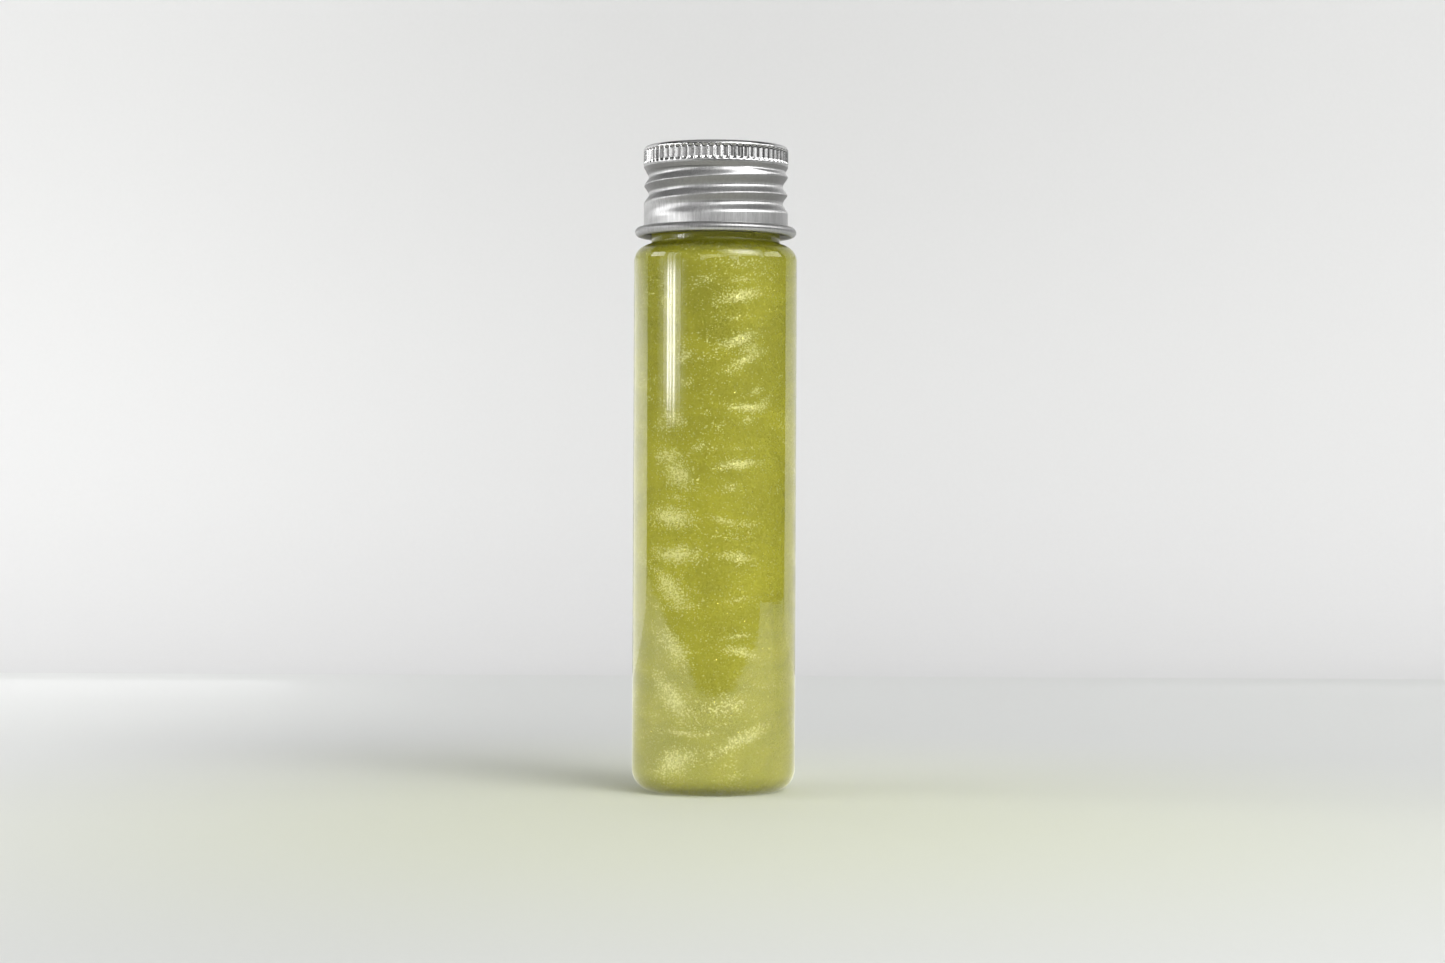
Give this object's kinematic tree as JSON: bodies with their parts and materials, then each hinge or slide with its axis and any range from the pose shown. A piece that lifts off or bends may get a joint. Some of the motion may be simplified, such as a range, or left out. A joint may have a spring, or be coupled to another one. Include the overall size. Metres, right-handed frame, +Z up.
{
  "type": "gold sample vial",
  "caption": "Slim straight-sided glass vial of pearly yellow-green liquid, closed by a rolled aluminium screw cap with a fluted rim and a curled hem.",
  "frame": {"origin": "centre of the vial's base, on the plane it stands on", "axes": "+Z up along the vial's axis, towards the cap; -Y towards the front"},
  "size_m": [0.03, 0.03, 0.1183],
  "materials": {
    "glass": "polished",
    "liquid": "satin",
    "liner_film": "satin",
    "liner_foam": "matte",
    "aluminium": "satin"
  },
  "bodies": {
    "vial": {"glass_vial": "glass", "shimmer_liquid": "liquid"},
    "liner": {"liner_facing": "liner_film", "liner_backing": "liner_foam"},
    "cap": {"cap_shell": "aluminium"}
  },
  "joints": [
    {"name": "cap_lift", "type": "slide", "parent": "vial", "child": "liner", "axis": [0, 0, 1], "range_m": [0, 0.016]},
    {"name": "cap_turn", "type": "hinge", "parent": "liner", "child": "cap", "pos_m": [0, 0, 0.11831], "axis": [0, 0, 1], "range_deg": [0, 1800]}
  ],
  "couplings": [
    {"joint": "cap_lift", "follows": "cap_turn", "m_per_rad": 0.00050532}
  ]
}
